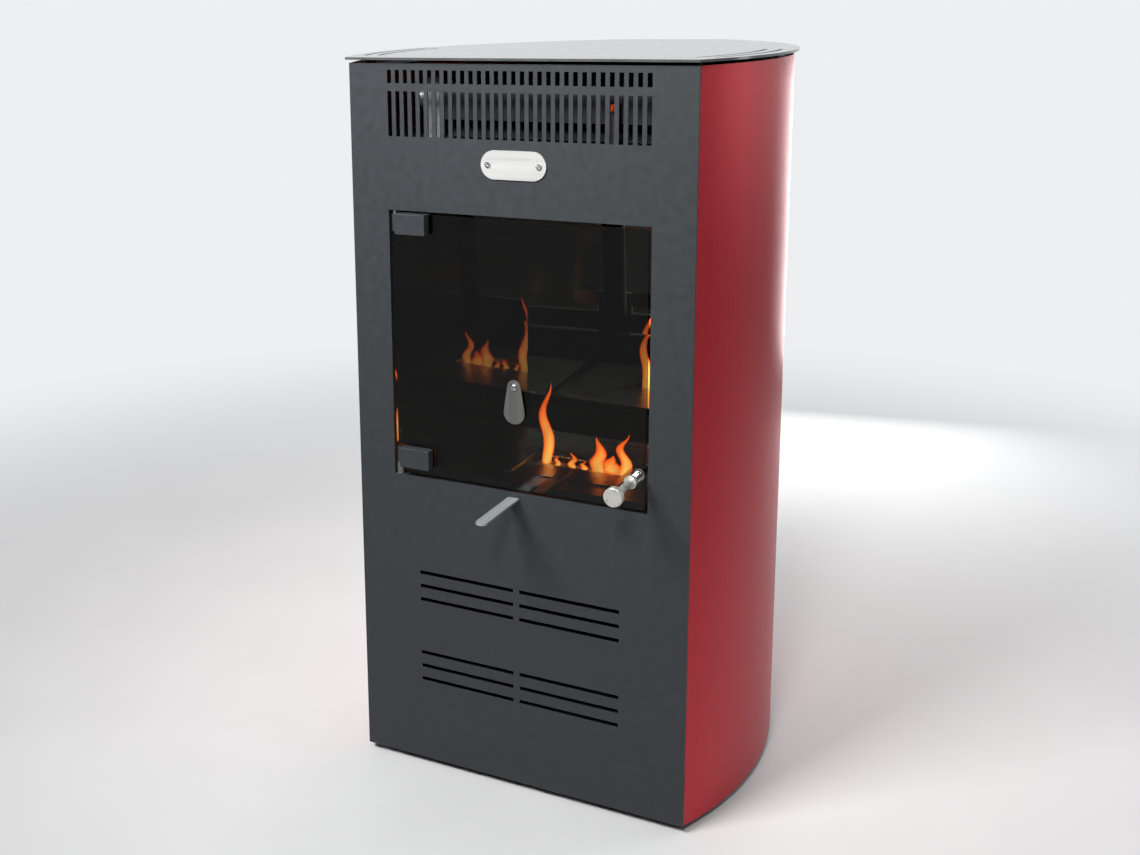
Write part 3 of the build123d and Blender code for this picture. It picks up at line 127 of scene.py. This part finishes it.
# Finishes: two tones and the range of roughness, then what differs from finish_of's own values
LOOKS = {
    "anthracite_coat": dict(
        dark=(0.027, 0.030, 0.033), light=(0.033, 0.037, 0.041), rough=(0.48, 0.56),
        peel=(1400.0, 0.10), shine=0.25),
    "bordeaux_paint": dict(
        dark=(0.40, 0.012, 0.022), light=(0.47, 0.018, 0.030), rough=(0.33, 0.40),
        metal=0.5, scale=260.0, peel=(1500.0, 0.22), shine=0.3),
    "plate_paint": dict(
        dark=(0.06, 0.066, 0.066), light=(0.08, 0.087, 0.087), rough=(0.08, 0.13),
        peel=(600.0, 0.02), shine=0.3),
    "polished_steel": dict(
        dark=(0.42, 0.41, 0.40), light=(0.48, 0.47, 0.46), rough=(0.006, 0.02),
        metal=1.0, scale=9.0, peel=(6.0, 0.004)),
    "satin_steel": dict(
        dark=(0.50, 0.49, 0.47), light=(0.62, 0.61, 0.59), rough=(0.26, 0.38),
        metal=1.0, scale=160.0, peel=(700.0, 0.10), stretch=(0.04, 1, 1)),
    "zinc_steel": dict(
        dark=(0.44, 0.45, 0.47), light=(0.58, 0.58, 0.60), rough=(0.34, 0.50),
        metal=1.0, scale=70.0, peel=(500.0, 0.08)),
    "bright_chrome": dict(
        dark=(0.70, 0.70, 0.71), light=(0.78, 0.78, 0.79), rough=(0.10, 0.18),
        metal=1.0, scale=200.0, peel=(900.0, 0.03)),
    "black_metal": dict(
        dark=(0.012, 0.012, 0.013), light=(0.020, 0.020, 0.021), rough=(0.50, 0.62),
        peel=(1100.0, 0.12)),
    "ceramic_wool": dict(
        dark=(0.42, 0.39, 0.33), light=(0.66, 0.63, 0.56), rough=(0.88, 0.98),
        scale=300.0, peel=(1500.0, 0.6)),
    "black_plastic": dict(
        dark=(0.016, 0.016, 0.017), light=(0.024, 0.024, 0.025), rough=(0.38, 0.46),
        peel=(2000.0, 0.15)),
    "black_rubber": dict(
        dark=(0.015, 0.015, 0.015), light=(0.025, 0.025, 0.025), rough=(0.70, 0.82),
        peel=(700.0, 0.20)),
    "rotor_alloy": dict(
        dark=(0.20, 0.20, 0.21), light=(0.27, 0.27, 0.28), rough=(0.36, 0.48),
        metal=1.0, scale=140.0, peel=(600.0, 0.10), stretch=(0.05, 1, 1)),
    "dull_steel": dict(
        dark=(0.12, 0.127, 0.12), light=(0.17, 0.178, 0.17), rough=(0.34, 0.44),
        metal=0.6, scale=160.0, peel=(700.0, 0.10), stretch=(1, 1, 0.04)),
    "pale_steel": dict(
        dark=(0.34, 0.37, 0.38), light=(0.44, 0.47, 0.47), rough=(0.38, 0.50),
        metal=0.45, scale=160.0, peel=(700.0, 0.10), stretch=(1, 0.04, 1)),
    "knob_steel": dict(
        dark=(0.56, 0.56, 0.50), light=(0.66, 0.66, 0.60), rough=(0.24, 0.34),
        metal=0.55, scale=120.0, peel=(900.0, 0.06)),
    "brushed_plate": dict(
        dark=(0.44, 0.44, 0.43), light=(0.52, 0.52, 0.50), rough=(0.40, 0.52),
        metal=0.25, scale=160.0, peel=(900.0, 0.12), stretch=(0.04, 1, 1)),
}

# Nodes that wear another finish than the one of their slot
REPAINTED = {
    "ignition_cover": "dull_steel",
    "badge_plate": "brushed_plate",
    "regulator_lever": "pale_steel",
    "knob": "knob_steel",
    "knob_collar": "knob_steel",
    "hinge_bush": "dull_steel",
    "hinge_pins": "dull_steel",
}


def new_material(name):
    """A new material with its node tree and principled shader."""
    material = bpy.data.materials.new(name)
    material.use_nodes = True
    tree = material.node_tree
    return material, tree, tree.nodes["Principled BSDF"]


def node(tree, kind, **values):
    """A shader node with some of its input sockets set."""
    made = tree.nodes.new(kind)
    for key, value in values.items():
        made.inputs[key.replace("_", " ")].default_value = value
    return made


def maths(tree, operation, first, second):
    """One sum or product of two grey values."""
    made = tree.nodes.new("ShaderNodeMath")
    made.operation = operation
    tree.links.new(first, made.inputs[0])
    tree.links.new(second, made.inputs[1])
    return made.outputs["Value"]


def place(tree, stretch=(1, 1, 1)):
    """Object coordinates, stretched along the axes."""
    coords = tree.nodes.new("ShaderNodeTexCoord")
    mapping = node(tree, "ShaderNodeMapping", Scale=stretch)
    tree.links.new(coords.outputs["Object"], mapping.inputs["Vector"])
    return mapping.outputs["Vector"]


def grain(tree, scale, detail=4.0, stretch=(1, 1, 1)):
    """Noise as a grey value, in object coordinates."""
    made = node(tree, "ShaderNodeTexNoise", Scale=scale, Detail=detail)
    tree.links.new(place(tree, stretch), made.inputs["Vector"])
    return made.outputs["Fac"]


def spread(tree, source, low, high):
    """A noise value moved into the range from low to high."""
    made = node(tree, "ShaderNodeMapRange", From_Min=NOISE_LOW, From_Max=NOISE_HIGH, To_Min=low, To_Max=high)
    tree.links.new(source, made.inputs["Value"])
    return made.outputs["Result"]


def tones(tree, source, *stops):
    """A colour picked by a grey value from stops of a position and a colour, the lowest stop first."""
    ramp = tree.nodes.new("ShaderNodeValToRGB")
    elements = ramp.color_ramp.elements
    ends = (elements[0], elements[1])
    for element, (position, colour) in zip(ends, (stops[0], stops[-1])):
        element.position = position
        element.color = (*colour, 1)
    for position, colour in stops[1:-1]:
        elements.new(position).color = (*colour, 1)
    tree.links.new(source, ramp.inputs["Fac"])
    return ramp.outputs["Color"]


def two_tones(tree, source, dark, light):
    """A colour between two tones, picked by noise."""
    return tones(tree, source, (NOISE_LOW, dark), (NOISE_HIGH, light))


def bump(tree, source, shader, strength):
    """A fine surface, raised by a grey value."""
    made = node(tree, "ShaderNodeBump", Strength=strength, Distance=BUMP_HEIGHT)
    tree.links.new(source, made.inputs["Height"])
    tree.links.new(made.outputs["Normal"], shader.inputs["Normal"])


def show_mix(tree, share, first, second):
    """The surface is a mix of two shaders."""
    mix = tree.nodes.new("ShaderNodeMixShader")
    tree.links.new(share, mix.inputs["Fac"])
    tree.links.new(first, mix.inputs[1])
    tree.links.new(second, mix.inputs[2])
    tree.links.new(mix.outputs["Shader"], tree.nodes["Material Output"].inputs["Surface"])


def camera_rays(tree):
    """1 for what the camera sees itself, and 0 for light and reflections."""
    return tree.nodes.new("ShaderNodeLightPath").outputs["Is Camera Ray"]


def finish_of(name, dark, light, rough, metal=0.0, scale=90.0, peel=(900.0, 0.06), stretch=(1, 1, 1),
              shine=0.5):
    """A painted, plastic or metal finish: two close tones, uneven gloss and a fine surface."""
    material, tree, shader = new_material(name)
    peel_scale, peel_strength = peel
    cloud = grain(tree, scale, 5.0, stretch)
    tree.links.new(two_tones(tree, cloud, dark, light), shader.inputs["Base Color"])
    tree.links.new(spread(tree, cloud, *rough), shader.inputs["Roughness"])
    shader.inputs["Metallic"].default_value = metal
    shader.inputs["Specular IOR Level"].default_value = shine
    bump(tree, grain(tree, peel_scale, 2.0, stretch), shader, peel_strength)
    return material


def glass_finish():
    """Smoked glass: a dark clear pane with a sharp, slightly smudged reflection."""
    material, tree, shader = new_material("smoked_glass")
    tree.nodes.remove(shader)
    clear = tree.nodes.new("ShaderNodeBsdfTransparent")
    gloss = tree.nodes.new("ShaderNodeBsdfGlossy")
    fresnel = node(tree, "ShaderNodeFresnel", IOR=1.5)
    smudges = grain(tree, 7.0, 6.0)
    tree.links.new(two_tones(tree, smudges, (0.44, 0.45, 0.43), (0.50, 0.51, 0.49)), clear.inputs["Color"])
    tree.links.new(spread(tree, smudges, 0.0, 0.03), gloss.inputs["Roughness"])
    show_mix(tree, fresnel.outputs["Fac"], clear.outputs["BSDF"], gloss.outputs["BSDF"])
    return material


def flame_finish():
    """A tongue of flame: yellow at its heart, orange in its body, red and thin at its rim and tip."""
    material, tree, shader = new_material("flame")
    tree.nodes.remove(shader)
    facing = node(tree, "ShaderNodeLayerWeight", Blend=0.35).outputs["Facing"]
    split = tree.nodes.new("ShaderNodeSeparateXYZ")
    tree.links.new(tree.nodes.new("ShaderNodeTexCoord").outputs["Generated"], split.inputs["Vector"])
    raised = node(tree, "ShaderNodeMapRange", To_Max=0.45)
    tree.links.new(split.outputs["Z"], raised.inputs["Value"])
    outwards = maths(tree, "ADD", raised.outputs["Result"], facing)
    heart, body, rim = (1.0, 0.50, 0.10), (1.0, 0.14, 0.009), (0.62, 0.026, 0.003)
    colour = tones(tree, outwards, (0.10, heart), (0.40, body), (0.72, rim))
    glow = tree.nodes.new("ShaderNodeEmission")
    tree.links.new(colour, glow.inputs["Color"])
    tree.links.new(spread(tree, grain(tree, 60.0, 3.0, (1, 1, 0.35)), 3.0, 5.5), glow.inputs["Strength"])
    clear = tree.nodes.new("ShaderNodeBsdfTransparent")
    show_mix(tree, spread(tree, facing, 0.12, 0.96), glow.outputs["Emission"], clear.outputs["BSDF"])
    return material


def lamp_finish():
    """The pilot lamp's orange lens, faintly lit."""
    material, tree, shader = new_material("orange_lens")
    lens = two_tones(tree, grain(tree, 400.0), (0.62, 0.05, 0.01), (0.80, 0.09, 0.02))
    tree.links.new(lens, shader.inputs["Base Color"])
    shader.inputs["Emission Color"].default_value = (1.0, 0.12, 0.03, 1)
    shader.inputs["Emission Strength"].default_value = 0.12
    shader.inputs["Roughness"].default_value = 0.25
    return material


def floor_finish():
    """Pale matt paint that fades into the backdrop away from the stove."""
    material, tree, shader = new_material("floor_paint")
    cloud = grain(tree, 4.0, 5.0)
    pale = two_tones(tree, cloud, (0.72, 0.72, 0.72), (0.76, 0.76, 0.76))
    tree.links.new(pale, shader.inputs["Base Color"])
    tree.links.new(spread(tree, cloud, 0.75, 0.85), shader.inputs["Roughness"])
    distance = tree.nodes.new("ShaderNodeVectorMath")
    distance.operation = "LENGTH"
    tree.links.new(place(tree), distance.inputs[0])
    fade = node(tree, "ShaderNodeMapRange", From_Min=FLOOR_FADE[0], From_Max=FLOOR_FADE[1])
    fade.interpolation_type = "SMOOTHSTEP"
    tree.links.new(distance.outputs["Value"], fade.inputs["Value"])
    glow = node(tree, "ShaderNodeEmission", Color=SURROUND_COLOUR, Strength=BACKDROP)
    share = maths(tree, "MULTIPLY", fade.outputs["Result"], camera_rays(tree))
    show_mix(tree, share, shader.outputs["BSDF"], glow.outputs["Emission"])
    return material


def all_finishes():
    """Every finish of the stove, by name."""
    made = {name: finish_of(name, **look) for name, look in LOOKS.items()}
    made["smoked_glass"] = glass_finish()
    made["orange_lens"] = lamp_finish()
    made["flame"] = flame_finish()
    return made


def dress_cad_nodes():
    """Every CAD node gets the finish of its material slot, or its own."""
    for row in frame["record"]["subparts"]:
        worn = nodes[row["node"]].data.materials
        worn.clear()
        worn.append(finishes[REPAINTED.get(row["node"], row["material_slot"])])


def mesh_piece(name, points, faces, finish, body, smooth=True):
    """A new mesh that rides on a body."""
    mesh = bpy.data.meshes.new(name)
    mesh.from_pydata(points, [], faces)
    mesh.materials.append(finishes[finish])
    mesh.polygons.foreach_set("use_smooth", [smooth] * len(faces))
    piece = bpy.data.objects.new(name, mesh)
    bpy.context.scene.collection.objects.link(piece)
    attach(piece, body)
    return piece


def knob_spring():
    """The coil behind the knob's collar, as one smooth wire in place of its CAD solid."""
    low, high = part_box("knob_spring")
    middle = (low + high) / 2
    r = (high.x - low.x) / 2 - SPRING_WIRE_R
    start, run = low.y + SPRING_WIRE_R, high.y - low.y - 2 * SPRING_WIRE_R
    curve = bpy.data.curves.new("knob_coil", "CURVE")
    curve.dimensions = "3D"
    curve.bevel_depth = SPRING_WIRE_R
    curve.bevel_resolution = 4
    curve.use_fill_caps = True
    line = curve.splines.new("POLY")
    count = SPRING_TURNS * SPRING_STEPS
    line.points.add(count)
    for i in range(count + 1):
        a = 2 * pi * i / SPRING_STEPS
        line.points[i].co = (middle.x + r * cos(a), start + run * i / count, middle.z + r * sin(a), 1)
    line.use_smooth = True
    curve.materials.append(finishes["bright_chrome"])
    coil = bpy.data.objects.new("knob_coil", curve)
    bpy.context.scene.collection.objects.link(coil)
    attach(coil, "door")
    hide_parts("knob_spring")


def ceramic_wool():
    """A rough fibrous block in the burner slot, in place of its plain CAD solid."""
    low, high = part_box("ceramic_insert")
    nx, ny = WOOL_CELLS
    row = nx + 1
    points, faces = [], []
    for j in range(ny + 1):
        for i in range(nx + 1):
            x = low.x + (high.x - low.x) * i / nx
            y = low.y + (high.y - low.y) * j / ny
            sink = 2 * WOOL_BUMP
            if 0 < i < nx and 0 < j < ny:
                sink = WOOL_BUMP * (1 + noise.noise(Vector((x, y, 0)) * WOOL_PITS))
            points.append((x, y, high.z - sink))
    for j in range(ny):
        for i in range(nx):
            a = j * row + i
            faces.append((a, a + 1, a + 1 + row, a + row))
    front = list(range(nx))
    right = [j * row + nx for j in range(ny)]
    back = [ny * row + i for i in range(nx, 0, -1)]
    left = [j * row for j in range(ny, 0, -1)]
    rim = front + right + back + left
    base = len(points)
    points += [(points[k][0], points[k][1], low.z) for k in rim]
    for k in range(len(rim)):
        following = (k + 1) % len(rim)
        faces.append((rim[following], rim[k], base + k, base + following))
    faces.append(tuple(base + k for k in reversed(range(len(rim)))))
    wool = mesh_piece("ceramic_wool_block", points, faces, "ceramic_wool", "casing", smooth=False)
    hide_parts("ceramic_insert")


def tongue_width(t):
    """A tongue's width, as a share of its widest, from t of 0 at its foot to 1 at its tip."""
    swell = (SWELL_FOOT + SWELL_GROWTH * t) * (1 - t) ** SWELL_EASE
    return (1 - SWELL_SHARE + SWELL_SHARE * swell) * (1 - t**TIP_BLUNTNESS)


def flame(name, x, y_shift, height, half_width, sway):
    """A closed tongue that swells, sways and runs out to a point."""
    low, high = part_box("ceramic_insert")
    foot = Vector((x, (low.y + high.y) / 2 + y_shift, high.z - WOOL_BUMP))
    points, faces = [], []
    for j in range(FLAME_RINGS + 1):
        t = j / FLAME_RINGS
        r = half_width * tongue_width(t) + FLAME_TIP_R
        sway_x = sway * sin(SWAY_WAVES[0] * pi * t) * t**SWAY_ONSET
        sway_y = SWAY_ALONG_Y * sway * sin(SWAY_WAVES[1] * pi * t)
        middle = foot + Vector((sway_x, sway_y, height * t))
        for i in range(FLAME_SIDES):
            a = 2 * pi * i / FLAME_SIDES
            ripple = 1 + RIPPLE * noise.noise(Vector((cos(a) + RIPPLE_X * x, sin(a), RIPPLE_UP * t)))
            points.append(middle + Vector((r * ripple * cos(a), FLAME_Y_DEPTH * r * ripple * sin(a), 0)))
    for j in range(FLAME_RINGS):
        for i in range(FLAME_SIDES):
            k = (i + 1) % FLAME_SIDES
            a, b = j * FLAME_SIDES, (j + 1) * FLAME_SIDES
            faces.append((a + i, a + k, b + k, b + i))
    faces.append(tuple(reversed(range(FLAME_SIDES))))
    faces.append(tuple(FLAME_RINGS * FLAME_SIDES + i for i in range(FLAME_SIDES)))
    piece = mesh_piece(name, points, faces, "flame", "casing")
    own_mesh(piece)


def area_light(name, at, towards, size, power, spread_deg):
    """A soft rectangular light, itself unseen."""
    data = bpy.data.lights.new(name, "AREA")
    data.shape = "RECTANGLE"
    data.size, data.size_y = size
    data.energy = power
    data.spread = radians(spread_deg)
    light = bpy.data.objects.new(name, data)
    light.location = at
    light.rotation_euler = (Vector(towards) - Vector(at)).to_track_quat("-Z", "Y").to_euler()
    light.visible_camera = False
    bpy.context.scene.collection.objects.link(light)


def pale_floor():
    """A square floor round the stove."""
    mesh = bpy.data.meshes.new("floor")
    corners = [(x * FLOOR_HALF, y * FLOOR_HALF, 0) for x, y in ((-1, -1), (1, -1), (1, 1), (-1, 1))]
    mesh.from_pydata(corners, [], [(0, 1, 2, 3)])
    mesh.materials.append(floor_finish())
    floor = bpy.data.objects.new("floor", mesh)
    bpy.context.scene.collection.objects.link(floor)


def surround():
    """Light from all round, dim in front and bright behind, that looks evenly pale to the eye."""
    world = bpy.data.worlds.new("surround")
    world.use_nodes = True
    tree = world.node_tree
    background = tree.nodes["Background"]
    background.inputs["Color"].default_value = SURROUND_COLOUR
    split = tree.nodes.new("ShaderNodeSeparateXYZ")
    tree.links.new(tree.nodes.new("ShaderNodeTexCoord").outputs["Generated"], split.inputs["Vector"])
    dimmer = node(tree, "ShaderNodeMapRange", From_Min=WORLD_TURN[0], From_Max=WORLD_TURN[1],
                  To_Min=WORLD_FRONT, To_Max=WORLD_BACK)
    tree.links.new(split.outputs["Y"], dimmer.inputs["Value"])
    seen = node(tree, "ShaderNodeMix", B=BACKDROP)
    tree.links.new(camera_rays(tree), seen.inputs["Factor"])
    tree.links.new(dimmer.outputs["Result"], seen.inputs["A"])
    tree.links.new(seen.outputs["Result"], background.inputs["Strength"])
    bpy.context.scene.world = world


def camera():
    """The photograph's camera."""
    forward = Vector(CAMERA_FORWARD).normalized()
    level_right = forward.cross(Vector((0, 0, 1))).normalized()
    level_up = level_right.cross(forward)
    roll = radians(CAMERA_ROLL_DEG)
    right = level_right * cos(roll) + level_up * sin(roll)
    up = right.cross(forward)
    turn = Matrix((right, up, -forward)).transposed()
    data = bpy.data.cameras.new("camera")
    data.sensor_width = SENSOR_MM
    data.lens = SENSOR_MM * FOCAL_PX / PHOTO_W
    data.shift_x = (PHOTO_W / 2 - CENTRE_PX[0]) / PHOTO_W
    data.shift_y = -(PHOTO_H / 2 - CENTRE_PX[1]) / PHOTO_W
    eye = bpy.data.objects.new("camera", data)
    eye.matrix_world = Matrix.Translation(CAMERA_AT) @ turn.to_4x4()
    bpy.context.scene.collection.objects.link(eye)
    bpy.context.scene.camera = eye


finishes = all_finishes()
dress_cad_nodes()
knob_spring()
ceramic_wool()
for tongue in TONGUES:
    flame(*tongue)
pale_floor()
surround()
for light in LIGHTS:
    area_light(*light)
camera()
bpy.context.scene.view_settings.view_transform = "Standard"
